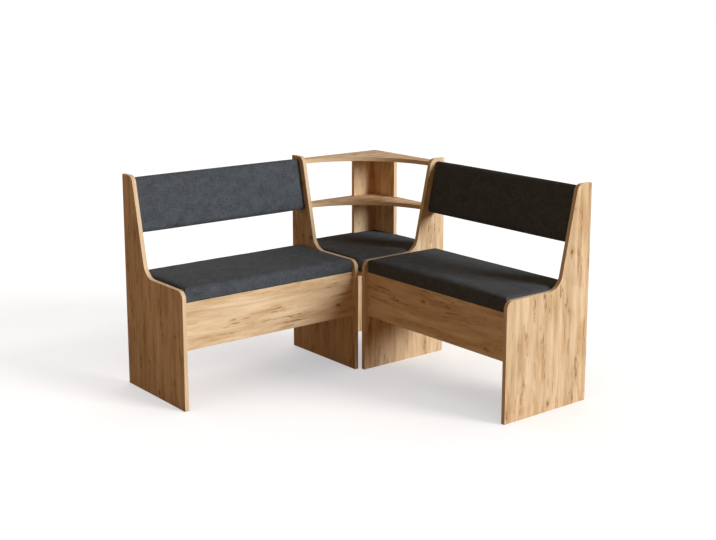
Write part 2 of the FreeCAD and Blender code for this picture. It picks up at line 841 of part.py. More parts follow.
def corner_posts():
    """Two upright boards in the wall corner, screwed together edge to face."""
    inner = f"{HALF} - post_width"
    tools = corner_tools + post_tools
    left = box(
        "left_post_core",
        "post_width - band",
        "board",
        POST_TOP,
        f"{inner} + band",
        from_wall("board"),
    )
    right = box(
        "right_post_core",
        "board",
        "post_width - band",
        POST_TOP,
        f"{HALF} - board",
        f"{inner} - board + band",
    )
    node("corner_left_post", cut("corner_left_post", left, tools))
    node("corner_right_post", cut("corner_right_post", right, tools))
    strips = [
        box("left_post_strip", "band", "board", POST_TOP, inner, from_wall("board")),
        box("right_post_strip", "board", "band", POST_TOP, f"{HALF} - board", f"{inner} - board"),
    ]
    node("corner_post_bands", group("corner_post_bands", strips))
    node("corner_post_screws", group("corner_post_screws", copies(post_screw, post_screws)))


def cut_corner(far):
    """The two points that close such an outline with its corner in the room cut off."""
    return [(f"{far} + corner_cut", far), (far, f"{far} + corner_cut")]


def corner_seat():
    """The fixed seat between the benches: a board on two cleats and a pad on top."""
    far = f"0 - {CORNER_WIDTH}"
    outline = notched("notch_gap", "0", far) + cut_corner(far)
    blank = slab("corner_seat_blank", "XY_Plane", outline, "board", HALF, HALF, CORNER_SEAT)
    node("corner_seat_board", cut("corner_seat_board", blank, corner_tools))

    far_edge = f"pad_edge_gap - {CORNER_WIDTH}"
    outline = notched("pad_edge_gap", "0 - pad_edge_gap", far_edge) + cut_corner(far_edge)
    height = "seat_top - apron_top"
    pad = slab("corner_seat_pad", "XY_Plane", outline, height, HALF, HALF, "apron_top")

    def front_top(a, b):
        """Picks the top edges beside the benches and at the cut corner."""
        if not (near(a.z, height) and near(b.z, height)):
            return False
        beside = (near(a.x, far_edge) and near(b.x, far_edge)) or (
            near(a.y, far_edge) and near(b.y, far_edge)
        )
        across = abs(a.x - b.x) > 1 and abs(a.y - b.y) > 1
        return beside or across

    round_edges(pad, "pad_round / 2", front_top)
    node("corner_seat_pad", pad)

    cleat = box(
        "cleat_blank",
        "cleat",
        "cleat_length",
        "cleat",
        BENCH_END,
        from_wall(f"{CLEAT_START} + cleat_length"),
        f"{CORNER_SEAT} - cleat",
    )
    drilled = cut("cleat_drilled", cleat, cleat_tools)
    node("corner_cleats", group("corner_cleats", [drilled, mirror("cleat_image", drilled)]))


def corner_fittings():
    """Brackets, screws, dowels and cam fittings of the corner, each with its mirror image."""
    flat = box(
        "bracket_flat",
        "bracket_leg",
        "bracket_width",
        "bracket_sheet",
        y="0 - bracket_width / 2",
        z="0 - bracket_sheet",
    )
    upright = box(
        "bracket_upright",
        "bracket_sheet",
        "bracket_width",
        "bracket_leg",
        y="0 - bracket_width / 2",
        z="0 - bracket_leg",
    )
    angle = fuse("bracket_master", flat, upright)
    brackets = cut("brackets_drilled", group("brackets", copies(angle, bracket_places)), bracket_tools)
    for name, half in (
        ("corner_brackets", [brackets]),
        ("corner_bracket_screws", copies(hinge_screw, bracket_screws)),
        ("corner_cleat_screws", copies(cleat_screw, cleat_screws)),
        ("corner_dowels", copies(dowel, corner_dowels)),
        ("corner_cam_bolts", copies(cam_bolt, corner_cams)),
        ("corner_cam_locks", copies(cam_lock, corner_cams)),
    ):
        one_side = group(f"{name}_one_side", half)
        both = [one_side, mirror(f"{name}_image", one_side)]
        node(name, group(name, both))


corner_half = group(
    "corner_tools_one_side",
    corner_cam_tools + corner_dowel_tools + cleat_tools + bracket_tools,
)
corner_tools = [corner_half, mirror("corner_tools_image", corner_half)]

storage_bench()
backrest()
seat_lid()
hinges()
for name, thing in list(NODES.items()):
    image_name = name.replace("left_", "right_")
    node(image_name, mirror(image_name, thing))
corner_posts()
corner_shelves()
corner_seat()
corner_fittings()
doc.recompute()

for thing in doc.Objects:
    assert not {"Invalid", "Error"} & set(thing.State), f"{thing.Name}: {thing.State}"
for name, thing in NODES.items():
    shape = thing.Shape
    assert not shape.isNull() and shape.isValid() and shape.Solids, f"{name} is not sound"

os.makedirs("parts", exist_ok=True)
for name, thing in NODES.items():
    thing.Shape.exportStep(f"parts/{name}.step")
    size = thing.Shape.BoundBox
    print(
        f"{name}: {len(thing.Shape.Solids)} solids, "
        f"{size.XLength:.1f} x {size.YLength:.1f} x {size.ZLength:.1f}"
    )
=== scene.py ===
"""The looks of a corner storage bench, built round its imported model.

Every length is in metres. The left bench stands along the back wall and the right bench along the
side wall, its mirror image in the upright plane x = y. Boards keep the solids' shape with their
edges eased, the pads are inflated cloth, and what the upholsterer adds is modelled here.
"""

import json
import logging
import math
from collections.abc import Iterable, Sequence
from dataclasses import dataclass, field
from enum import Enum

import bmesh
import bpy
from mathutils import Matrix, Vector, noise
from mathutils.bvhtree import BVHTree
from mathutils.geometry import intersect_point_line


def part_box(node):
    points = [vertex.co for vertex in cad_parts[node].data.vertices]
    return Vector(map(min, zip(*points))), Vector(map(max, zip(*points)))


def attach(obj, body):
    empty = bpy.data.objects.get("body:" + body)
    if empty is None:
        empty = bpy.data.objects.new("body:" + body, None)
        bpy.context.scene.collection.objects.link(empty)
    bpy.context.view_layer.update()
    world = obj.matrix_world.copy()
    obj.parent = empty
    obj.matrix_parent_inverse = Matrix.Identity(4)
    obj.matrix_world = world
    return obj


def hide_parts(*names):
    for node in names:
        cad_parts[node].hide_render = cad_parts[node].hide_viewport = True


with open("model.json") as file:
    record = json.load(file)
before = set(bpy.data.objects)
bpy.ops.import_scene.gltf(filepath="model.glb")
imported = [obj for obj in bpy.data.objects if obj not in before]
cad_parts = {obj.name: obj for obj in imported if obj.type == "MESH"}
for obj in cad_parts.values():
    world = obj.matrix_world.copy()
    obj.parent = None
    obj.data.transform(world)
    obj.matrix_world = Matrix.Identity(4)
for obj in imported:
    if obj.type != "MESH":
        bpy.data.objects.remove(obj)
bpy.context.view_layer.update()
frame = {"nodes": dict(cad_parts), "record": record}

log = logging.getLogger("corner_bench")

Socket = bpy.types.NodeSocket
Material = bpy.types.Material
Thing = bpy.types.Object
Shape = bmesh.types.BMesh
Triple = tuple[float, float, float]
Colour = Triple
Range = tuple[float, float]
Feed = Socket | float | Triple

X = Vector((1, 0, 0))
Y = Vector((0, 1, 0))
Z = Vector((0, 0, 1))

SAME_POINT = 1e-6
BACKREST_LEAN = math.radians(12.4)
FABRIC_STRETCH = {
    "quality": 5,
    "mass": 0.3,
    "tension_stiffness": 18.0,
    "compression_stiffness": 18.0,
    "shear_stiffness": 8.0,
    "bending_stiffness": 0.8,
    "use_pressure": True,
}


class Side(Enum):
    """The two benches, and what takes the left one's coordinates to each."""

    LEFT = "left"
    RIGHT = "right"

    @property
    def swap(self) -> Matrix:
        """The identity for the left bench and the mirror image in x = y for the right one."""
        if self is Side.LEFT:
            return Matrix.Identity(4)
        return Matrix(((0, 1, 0, 0), (1, 0, 0, 0), (0, 0, 1, 0), (0, 0, 0, 1)))

    @property
    def lid(self) -> str:
        """The body that this bench's seat swings with."""
        return f"{self.value}_lid"


class Grain(Enum):
    """How a board was cut: the axes along its grain, across it, and through the board."""

    UPRIGHT_ACROSS_Y = "ZYX"
    UPRIGHT_ACROSS_X = "ZXY"
    STANDING_ALONG_X = "XZY"
    STANDING_ALONG_Y = "YZX"
    FLAT_ALONG_X = "XYZ"
    FLAT_ALONG_Y = "YXZ"

    def for_side(self, side: Side) -> "Grain":
        """The cut with X and Y changed over for the right bench.

        Args:
            side: The bench that the board belongs to.

        Returns:
            The same cut for the left bench, and its mirror image for the right one.
        """
        if side is Side.LEFT:
            return self
        return Grain(self.value.translate(str.maketrans("XY", "YX")))


@dataclass(frozen=True)
class Pattern:
    """Random blotches, drawn in as many finer layers as the detail says.

    The size is in metres each way. The range is where the blotches come to show, or what their
    values are spread over. The share is how strongly they count.
    """

    size: Triple
    detail: float = 2.0
    rough: float = 0.5
    low: float = 0.0
    high: float = 1.0
    share: float = 1.0


class Nodes:
    """A node tree, with short calls for the nodes that finishes and lights are made of."""

    def __init__(self, tree: bpy.types.NodeTree) -> None:
        """Takes a tree over and empties it."""
        self.tree = tree
        self.tree.nodes.clear()

    def feed(self, socket: Socket, value: Feed) -> None:
        """Links a socket to another one, or gives it a number, vector or colour.

        Args:
            socket: The input.
            value: What goes into it.
        """
        if isinstance(value, Socket):
            self.tree.links.new(value, socket)
        elif isinstance(value, (int, float)):
            socket.default_value = value
        else:
            spare = (1.0,) * (len(socket.default_value) - len(value))
            socket.default_value = tuple(value) + spare

    def node(self, kind: str, inputs: dict[str | int, Feed], **settings: object) -> bpy.types.Node:
        """Adds a node.

        Args:
            kind: The node's type.
            inputs: What goes into its sockets, by name or number.
            settings: Its properties.

        Returns:
            The node.
        """
        made = self.tree.nodes.new(f"ShaderNode{kind}")
        for name, setting in settings.items():
            setattr(made, name, setting)
        for name, value in inputs.items():
            self.feed(made.inputs[name], value)
        return made

    def maths(self, operation: str, *values: Feed) -> Socket:
        """The result of one sum."""
        return self.node("Math", dict(enumerate(values)), operation=operation).outputs[0]

    def times(self, first: Feed, second: Feed) -> Socket:
        """A product of two numbers."""
        return self.maths("MULTIPLY", first, second)

    def vector(self, operation: str, *values: Feed) -> Socket:
        """The vector that one sum on vectors gives."""
        made = self.node("VectorMath", dict(enumerate(values)), operation=operation)
        return made.outputs["Vector"]

    def scaled(self, value: Feed, factor: Feed) -> Socket:
        """A vector or colour times a number."""
        made = self.node("VectorMath", {0: value, "Scale": factor}, operation="SCALE")
        return made.outputs["Vector"]

    def parts(self, value: Feed) -> tuple[Socket, ...]:
        """A vector's three components."""
        return tuple(self.node("SeparateXYZ", {0: value}).outputs)

    def joined(self, *values: Feed) -> Socket:
        """A vector from its components."""
        return self.node("CombineXYZ", dict(enumerate(values))).outputs[0]

    def here(self) -> Socket:
        """The place on the piece, in its own coordinates."""
        return self.node("TexCoord", {}).outputs["Object"]

    def divided(self, place: Feed, *sizes: float) -> Socket:
        """A place measured in spots of the given sizes, so that a pattern repeats at that size."""
        return self.vector("MULTIPLY", place, tuple(1 / size if size else 0.0 for size in sizes))

    def blotches(self, place: Feed, pattern: Pattern) -> Socket:
        """A pattern's random values, from 0 to 1.

        Args:
            place: The point that is looked up.
            pattern: The pattern.

        Returns:
            The value.
        """
        inputs = {"Vector": self.divided(place, *pattern.size), "Scale": 1.0}
        inputs |= {"Detail": pattern.detail, "Roughness": pattern.rough}
        return self.node("TexNoise", inputs).outputs["Fac"]

    def shown(self, place: Feed, pattern: Pattern) -> Socket:
        """How far a pattern has risen through its range, from 0 to 1."""
        return self.step(self.blotches(place, pattern), pattern.low, pattern.high)

    def ranged(self, place: Feed, pattern: Pattern) -> Socket:
        """A pattern's values, spread over its range."""
        return self.spread(self.blotches(place, pattern), pattern.low, pattern.high)

    def added(self, total: Feed, place: Feed, pattern: Pattern) -> Socket:
        """A sum with a pattern's share added to it."""
        return self.maths("MULTIPLY_ADD", self.blotches(place, pattern), pattern.share, total)

    def step(self, value: Feed, low: float, high: float) -> Socket:
        """A smooth rise from 0 to 1, or a fall where the first value is above the second.

        Args:
            value: What is looked at.
            low: Where the result is 0.
            high: Where it is 1.

        Returns:
            The result.
        """
        inputs = {"Value": value, "From Min": low, "From Max": high}
        if low > high:
            inputs |= {"From Min": high, "From Max": low, "To Min": 1.0, "To Max": 0.0}
        return self.node("MapRange", inputs, interpolation_type="SMOOTHSTEP").outputs["Result"]

    def spread(self, value: Feed, low: float, high: float) -> Socket:
        """A value from 0 to 1 spread over another range."""
        return self.node("MapRange", {"Value": value, "To Min": low, "To Max": high}).outputs["Result"]

    def mix(self, share: Feed, first: Feed, second: Feed) -> Socket:
        """One colour, and as much of a second one over it as the share says."""
        return self.node("Mix", {0: share, 6: first, 7: second}, data_type="RGBA").outputs[2]

    def laid(self, colour: Feed, mark: Feed, share: float, over: Feed) -> Socket:
        """A colour with another one laid over it where a mark shows."""
        return self.mix(self.times(mark, share), colour, over)

    def ramp(self, value: Feed, *stops: tuple[float, Colour]) -> Socket:
        """A colour looked up along a scale.

        Args:
            value: The place on the scale.
            stops: Where the colours lie, and the colours.

        Returns:
            The colour.
        """
        made = self.node("ValToRGB", {"Fac": value})
        for at, _ in stops[2:]:
            made.color_ramp.elements.new(at)
        for element, (at, colour) in zip(made.color_ramp.elements, stops):
            element.position = at
            element.color = (*colour, 1.0)
        return made.outputs["Color"]


class Shading(Nodes):
    """The nodes of one material with a Principled surface."""

    def __init__(self, name: str) -> None:
        """Starts the material.

        Args:
            name: The material's name.
        """
        self.material = bpy.data.materials.new(name)
        self.material.use_nodes = True
        super().__init__(self.material.node_tree)
        self.surface = self.node("BsdfPrincipled", {})
        self.node("OutputMaterial", {"Surface": self.surface.outputs["BSDF"]})

    def relief(self, height: Feed, depth: float) -> None:
        """Gives the surface a fine relief, where a height of 1 stands for the depth."""
        made = self.node("Bump", {"Height": height, "Strength": 1.0, "Distance": depth})
        self.feed(self.surface.inputs["Normal"], made.outputs["Normal"])

    def sunken(self, marks: Feed, depth: float) -> None:
        """Sinks marks into the surface."""
        self.relief(self.maths("SUBTRACT", 1.0, marks), depth)

    def dress(self, **inputs: Feed) -> Material:
        """Sets the surface's sockets, named with underscores for spaces, and gives the material."""
        for name, value in inputs.items():
            self.feed(self.surface.inputs[name.replace("_", " ")], value)
        return self.material


@dataclass(frozen=True)
class OakDecor:
    """Printed oak laminate: streaky straight grain, faint rings, brown knots and dark checks."""

    name: str
    grain: Grain
    shift: Triple
    light: Colour = (0.82, 0.605, 0.375)
    middle: Colour = (0.70, 0.475, 0.265)
    shade: Colour = (0.50, 0.30, 0.145)
    russet: Colour = (0.52, 0.265, 0.115)
    late_wood: Colour = (0.37, 0.20, 0.090)
    check: Colour = (0.14, 0.066, 0.027)
    heart: Colour = (0.20, 0.098, 0.042)
    tones: Triple = (0.28, 0.46, 0.66)
    cloud: Pattern = Pattern((0.26, 0.030, 0.3), 6.0, 0.60)
    planks: Pattern = Pattern((1.6, 0.055, 1.0), 0.0, low=0.84, high=1.14)
    stripes: Pattern = Pattern((0.60, 0.0052, 0.3), 3.0, 0.55, low=0.84, high=1.16)
    bend: Pattern = Pattern((0.55, 0.16, 0.3), 1.0, share=0.028)
    ripple: Pattern = Pattern((0.12, 0.030, 0.1), share=0.0045)
    heart_depth: Pattern = Pattern((0.9, 0.6, 1.0), 1.0, share=0.12)
    least_depth: float = 0.01
    plank: float = 0.110
    ring: float = 0.0075
    ring_rise: Range = (0.25, 0.9)
    ring_fall: Range = (1.0, 0.93)
    ring_patches: Pattern = Pattern((0.30, 0.06, 0.3), 1.0, low=0.42, high=0.66)
    roughness: Pattern = Pattern((0.17, 0.034, 0.3), 3.0, 0.55, low=0.47, high=0.72)
    fleck_rise: Range = (0.44, 0.62)
    flecks: Pattern = Pattern((0.034, 0.0032, 0.1), 3.0, 0.6, low=0.56, high=0.72)
    least_flecks: float = 0.25
    check_rise: Range = (0.52, 0.58)
    check_line: Pattern = Pattern((0.26, 0.0165, 0.3), 4.0, 0.52)
    check_width: Pattern = Pattern((0.035, 0.01, 0.1), 1.0, low=0.002, high=0.034)
    check_edge: float = 0.7
    check_hollow: float = 2.0
    pores: Pattern = Pattern((0.012, 0.00055, 0.01), low=0.58, high=0.72)
    knot_pitch: Range = (0.27, 0.12)
    knot_scatter: float = 0.9
    knot_stretch: float = 1.7
    knot_share: Range = (0.56, 0.60)
    knot_size: Range = (0.0035, 0.0085)
    knot_rim: Pattern = Pattern((0.008, 0.005, 0.01), low=0.6, high=1.4)
    knot_push: float = 0.10
    core: Range = (1.3, 0.4)
    halo: Range = (3.6, 0.9)
    depth: float = 0.00004
    matt: Range = (0.67, 0.57)

    def place(self, shading: Shading) -> Socket:
        """The board's own coordinates: along the grain, across it, and through the board.

        Args:
            shading: The material's nodes.

        Returns:
            The place, moved so that no two boards show the same stretch of the print.
        """
        axes = dict(zip("XYZ", shading.parts(shading.here())))
        turned = shading.joined(*(axes[axis] for axis in self.grain.value))
        return shading.vector("ADD", turned, self.shift)

    def knots(self, shading: Shading, place: Feed) -> tuple[Socket, ...]:
        """Scattered knots, and the grain that bends round them.

        Args:
            shading: The material's nodes.
            place: The board's own coordinates.

        Returns:
            The distance to the nearest knot in knot sizes, its presence from 0 to 1, and how far
            the grain is pushed aside.
        """
        along, across = self.knot_pitch
        cell = shading.divided(place, along, across, 0.0)
        inputs = {"Vector": cell, "Scale": 1.0, "Randomness": self.knot_scatter}
        found = shading.node("TexVoronoi", inputs, voronoi_dimensions="2D")
        away = shading.vector("SUBTRACT", cell, found.outputs["Position"])
        away = shading.vector("MULTIPLY", away, (along / self.knot_stretch, across, 0.0))
        random = shading.parts(found.outputs["Color"])
        there = shading.step(random[0], *self.knot_share)
        size = shading.spread(random[1], *self.knot_size)
        length = shading.node("VectorMath", {0: away}, operation="LENGTH").outputs["Value"]
        ragged = shading.times(size, shading.ranged(place, self.knot_rim))
        reach = shading.maths("DIVIDE", length, size)
        reach = shading.times(shading.times(reach, reach), -self.knot_push)
        push = shading.times(shading.maths("EXPONENT", reach), shading.parts(away)[1])
        return shading.maths("DIVIDE", length, ragged), there, shading.times(push, there)

    def rings(self, shading: Shading, place: Feed, push: Feed) -> tuple[Socket, ...]:
        """Growth rings of flat-sawn planks whose heart wanders below the face.

        Args:
            shading: The material's nodes.
            place: The board's own coordinates.
            push: How far the grain is pushed aside by knots.

        Returns:
            The late wood's strength from 0 to 1, and the place with the grain's wander in it.
        """
        along, across, depth = shading.parts(place)
        wander = shading.added(shading.added(0.0, place, self.ripple), place, self.bend)
        bent = shading.maths("SUBTRACT", shading.maths("ADD", across, wander), push)
        inside = shading.maths("PINGPONG", bent, self.plank)
        below = shading.maths("ADD", depth, self.least_depth)
        below = shading.added(below, place, self.heart_depth)
        square = shading.times(inside, inside)
        radius = shading.maths("SQRT", shading.maths("MULTIPLY_ADD", below, below, square))
        turn = shading.maths("FRACT", shading.maths("DIVIDE", radius, self.ring))
        late = shading.times(shading.step(turn, *self.ring_rise), shading.step(turn, *self.ring_fall))
        late = shading.times(late, shading.shown(place, self.ring_patches))
        return late, shading.joined(along, bent, depth)

    def checks(self, shading: Shading, bent: Feed, rough: Feed) -> Socket:
        """Thin dark splits that wander along the grain.

        Args:
            shading: The material's nodes.
            bent: The place with the grain's wander in it.
            rough: Where the wood is rough, from 0 to 1.

        Returns:
            Their strength from 0 to 1.
        """
        line = shading.maths("SUBTRACT", shading.blotches(bent, self.check_line), 0.5)
        line = shading.maths("ABSOLUTE", line)
        line = shading.maths("DIVIDE", line, shading.ranged(bent, self.check_width))
        line = shading.maths("SUBTRACT", 1.0, line)
        return shading.times(shading.step(line, 0.0, self.check_edge), rough)

    def make(self) -> Material:
        """Builds the material."""
        shading = Shading(self.name)
        place = self.place(shading)
        distance, there, push = self.knots(shading, place)
        late, bent = self.rings(shading, place, push)
        cloud = shading.blotches(bent, self.cloud)
        rough = shading.blotches(bent, self.roughness)
        russet = shading.step(rough, self.roughness.low, self.roughness.high)
        halo = shading.times(shading.step(distance, *self.halo), there)
        core = shading.times(shading.step(distance, *self.core), there)
        flecks = shading.spread(shading.step(rough, *self.fleck_rise), self.least_flecks, 1.0)
        flecks = shading.times(shading.shown(bent, self.flecks), flecks)
        checks = self.checks(shading, bent, shading.step(rough, *self.check_rise))
        pores = shading.shown(bent, self.pores)

        colour = shading.ramp(cloud, *zip(self.tones, (self.shade, self.middle, self.light)))
        tone = shading.times(shading.ranged(place, self.planks), shading.ranged(bent, self.stripes))
        colour = shading.scaled(colour, tone)
        for mark, share, over in (
            (russet, 0.50, self.russet),
            (late, 0.20, self.late_wood),
            (halo, 0.55, self.russet),
            (core, 0.80, self.heart),
            (flecks, 0.50, self.late_wood),
            (checks, 0.78, self.check),
            (pores, 0.32, self.late_wood),
        ):
            colour = shading.laid(colour, mark, share, over)

        hollow = shading.maths("ADD", pores, shading.times(checks, self.check_hollow))
        shading.sunken(hollow, self.depth)
        matt = shading.spread(cloud, *self.matt)
        return shading.dress(Base_Color=colour, Roughness=matt, Specular_IOR_Level=0.04)


@dataclass(frozen=True)
class EdgeBand:
    """Thin plastic edge band, printed with plain straight oak along its run."""

    name: str = "edge_band"
    light: Colour = (0.78, 0.575, 0.355)
    shade: Colour = (0.58, 0.385, 0.205)
    streaks: Pattern = Pattern((0.30, 0.0022, 1.0), 4.0, 0.6, low=0.32, high=0.64)
    flecks: Pattern = Pattern((0.009, 0.0005, 1.0), 1.0, low=0.6, high=0.75, share=0.22)
    depth: float = 0.00002

    def make(self) -> Material:
        """Builds the material. Its pattern follows the attribute "run" of each band."""
        shading = Shading(self.name)
        run = shading.node("Attribute", {}, attribute_name="run").outputs["Vector"]
        stops = (self.streaks.low, self.shade), (self.streaks.high, self.light)
        colour = shading.ramp(shading.blotches(run, self.streaks), *stops)
        flecks = shading.shown(run, self.flecks)
        colour = shading.laid(colour, flecks, self.flecks.share, self.shade)
        shading.sunken(flecks, self.depth)
        return shading.dress(Base_Color=colour, Roughness=0.50, Specular_IOR_Level=0.10)


@dataclass(frozen=True)
class Chipboard:
    """Bare chipboard, as on a sawn edge: pressed flakes of light and dark wood."""

    name: str = "raw_chipboard"
    flake: float = 0.0012
    flat: float = 1.7
    colours: tuple[Colour, ...] = ((0.40, 0.27, 0.145), (0.55, 0.395, 0.23), (0.66, 0.50, 0.31))
    tones: Triple = (0.04, 0.35, 0.95)
    stir: Pattern = Pattern((0.003, 0.003, 0.003), share=0.003)
    cloud: Pattern = Pattern((0.045, 0.045, 0.045), 3.0, low=0.90, high=1.12)
    depth: float = 0.00012

    def make(self) -> Material:
        """Builds the material."""
        shading = Shading(self.name)
        place = shading.here()
        stir = shading.blotches(place, self.stir)
        stir = shading.scaled(shading.joined(stir, stir, stir), self.stir.share)
        place = shading.vector("ADD", place, stir)
        long = self.flake * self.flat
        cells = shading.divided(place, long, long, self.flake)
        found = shading.node("TexVoronoi", {"Vector": cells, "Scale": 1.0})
        random = shading.parts(found.outputs["Color"])[0]
        colour = shading.ramp(random, *zip(self.tones, self.colours))
        colour = shading.scaled(colour, shading.ranged(place, self.cloud))
        shading.relief(random, self.depth)
        return shading.dress(Base_Color=colour, Roughness=0.86, Specular_IOR_Level=0.2)


@dataclass(frozen=True)
class Upholstery:
    """Anthracite woven upholstery with slubs in both threads and a soft sheen."""

    name: str = "seat_fabric"
    dark: Colour = (0.049, 0.053, 0.057)
    light: Colour = (0.096, 0.102, 0.108)
    thread: float = 0.0011
    slubs: tuple[Pattern, ...] = (
        Pattern((0.0028, 0.030, 1.0), 4.0, 0.65, share=0.40),
        Pattern((0.030, 0.0028, 1.0), 4.0, 0.65, share=0.40),
        Pattern((0.055, 0.040, 1.0), 3.0, 0.55, share=0.20),
    )
    rise: Range = (0.38, 0.62)
    slub_height: float = 1.6
    thread_height: float = 0.5
    depth: float = 0.00016
    matt: Range = (0.80, 0.52)

    def make(self) -> Material:
        """Builds the material. Its weave follows the UV map "weave", which is in metres."""
        shading = Shading(self.name)
        weave = shading.node("UVMap", {}, uv_map="weave").outputs["UV"]
        blend: Feed = 0.0
        for slub in self.slubs:
            blend = shading.added(blend, weave, slub)
        turns = [shading.times(part, 2 * math.pi / self.thread) for part in shading.parts(weave)[:2]]
        warp, weft = (shading.maths("SINE", turn) for turn in turns)
        over = shading.maths("MULTIPLY_ADD", shading.times(warp, weft), 0.5, 0.5)
        threads = shading.times(over, self.thread_height)
        shading.relief(shading.maths("MULTIPLY_ADD", blend, self.slub_height, threads), self.depth)
        return shading.dress(
            Base_Color=shading.mix(shading.step(blend, *self.rise), self.dark, self.light),
            Roughness=shading.spread(blend, *self.matt),
            Specular_IOR_Level=0.0,
            Sheen_Weight=0.05,
            Sheen_Roughness=0.45,
        )


@dataclass(frozen=True)
class Metal:
    """Bright or dull metal with rolling marks and a little unevenness in its plating."""

    name: str
    colour: Colour
    dull: Colour
    rough: Range
    marks: Pattern = Pattern((0.02, 0.0006, 0.02), 3.0)
    cloud: Pattern = Pattern((0.012, 0.012, 0.012), low=0.35, high=0.7)
    depth: float = 0.00002

    def make(self) -> Material:
        """Builds the material."""
        shading = Shading(self.name)
        place = shading.here()
        marks = shading.blotches(place, self.marks)
        cloud = shading.blotches(place, self.cloud)
        dull = shading.step(cloud, self.cloud.low, self.cloud.high)
        colour = shading.mix(dull, self.colour, self.dull)
        rough = shading.spread(shading.maths("ADD", marks, cloud), *self.rough)
        shading.relief(marks, self.depth)
        return shading.dress(Base_Color=colour, Metallic=1.0, Roughness=rough)


@dataclass(frozen=True)
class PlainWood:
    """Bare planed or turned wood with fine straight grain and short flecks."""

    name: str
    light: Colour
    shade: Colour
    rings: Pattern = Pattern((0.006, 0.006, 0.12), 4.0, 0.6, low=0.35, high=0.65)
    flecks: Pattern = Pattern((0.0007, 0.0007, 0.004), 1.0, low=0.58, high=0.75, share=0.4)
    depth: float = 0.00004

    def make(self) -> Material:
        """Builds the material."""
        shading = Shading(self.name)
        place = shading.here()
        flecks = shading.shown(place, self.flecks)
        colour = shading.mix(shading.shown(place, self.rings), self.light, self.shade)
        colour = shading.laid(colour, flecks, self.flecks.share, self.shade)
        shading.sunken(flecks, self.depth)
        return shading.dress(Base_Color=colour, Roughness=0.62, Specular_IOR_Level=0.35)


def oak(node: str, cut: Grain, shift: Triple) -> Material:
    """A stretch of oak print for one board."""
    return OakDecor(f"oak_{node}", cut, shift).make()


class Workshop:
    """Makes and keeps the finishes, and the solids' surfaces that pieces are fitted against."""

    def __init__(self) -> None:
        """Builds every finish that is shared, and a search tree for each solid."""
        self.band = EdgeBand().make()
        self.chipboard = Chipboard().make()
        self.fabric = Upholstery().make()
        grains = Pattern((0.001, 0.001, 0.001), 3.0)
        boards = Pattern((0.05, 0.05, 0.0035), 4.0, 0.6, low=0.35, high=0.65)
        looks = (
            Metal("hinge_steel", (0.66, 0.66, 0.65), (0.52, 0.52, 0.50), (0.24, 0.36)),
            Metal("zinc_plated_screw", (0.70, 0.68, 0.60), (0.55, 0.55, 0.53), (0.26, 0.38)),
            Metal("cast_zinc", (0.50, 0.50, 0.50), (0.40, 0.40, 0.41), (0.42, 0.54), grains),
            PlainWood("beech_dowel", (0.62, 0.43, 0.25), (0.50, 0.32, 0.17)),
            PlainWood("pine_cleat", (0.74, 0.56, 0.33), (0.60, 0.39, 0.18), boards),
        )
        self.fittings = {look.name: look.make() for look in looks}
        self.surfaces = {name: self.surface_of(thing) for name, thing in frame["nodes"].items()}

    @staticmethod
    def surface_of(thing: Thing) -> BVHTree:
        """A solid's surface, ready to be searched."""
        points = [vertex.co for vertex in thing.data.vertices]
        return BVHTree.FromPolygons(points, [face.vertices for face in thing.data.polygons])

    def touches(self, names: Iterable[str], point: Vector, reach: float) -> bool:
        """Whether any of the named solids lies that near a point."""
        return any(self.surfaces[name].find_nearest(point, reach)[0] is not None for name in names)


def merged_copy(node: str, flat: float = math.radians(0.4)) -> Shape:
    """A solid's shape with its loose triangles joined into whole faces.

    Args:
        node: The solid's name.
        flat: The sharpest bend within a face.

    Returns:
        The copy.
    """
    shape = bmesh.new()
    shape.from_mesh(frame["nodes"][node].data)
    bmesh.ops.remove_doubles(shape, verts=shape.verts, dist=SAME_POINT)
    bmesh.ops.dissolve_limit(shape, angle_limit=flat, verts=shape.verts, edges=shape.edges)
    return shape


def cut_in_rows(shape: Shape, axis: Vector, pitch: float, fewest: int = 1) -> None:
    """Cuts a shape's faces into equal rows across an axis.

    Args:
        shape: The shape.
        axis: The direction that the rows follow each other in.
        pitch: About how wide a row is.
        fewest: The fewest rows.
    """
    spots = [vertex.co.dot(axis) for vertex in shape.verts]
    low, high = min(spots), max(spots)
    count = max(fewest, round((high - low) / pitch))
    for number in range(1, count):
        level = axis * (low + (high - low) * number / count)
        geometry = [*shape.verts, *shape.edges, *shape.faces]
        bmesh.ops.bisect_plane(shape, geom=geometry, dist=SAME_POINT, plane_co=level, plane_no=axis)


def ease(shape: Shape, edges: Iterable[bmesh.types.BMEdge], offset: float) -> None:
    """Rounds edges off.

    Args:
        shape: The shape.
        edges: Its edges.
        offset: How far from each edge the rounding starts.
    """
    bmesh.ops.bevel(
        shape,
        geom=list(edges),
        offset=offset,
        offset_type="OFFSET",
        segments=2,
        profile=0.5,
        affect="EDGES",
        clamp_overlap=True,
        material=-1,
    )


def finished(shape: Shape, name: str, *materials: Material) -> Thing:
    """Turns a mesh into an object of the scene.

    Args:
        shape: The mesh, which is freed.
        name: The new object's name.
        materials: What its faces are made of, by number.

    Returns:
        The object, at the origin.
    """
    mesh = bpy.data.meshes.new(name)
    shape.to_mesh(mesh)
    shape.free()
    for material in materials:
        mesh.materials.append(material)
    made = bpy.data.objects.new(name, mesh)
    bpy.context.scene.collection.objects.link(made)
    return made


def smooth_arcs(made: Thing, angle: float = 20.0) -> None:
    """Smooths round stretches and keeps every sharper edge.

    Args:
        made: The piece.
        angle: The sharpest bend that is still smooth, in degrees.
    """
    mesh = made.data
    mesh.polygons.foreach_set("use_smooth", [True] * len(mesh.polygons))
    mesh.set_sharp_from_angle(angle=math.radians(angle))


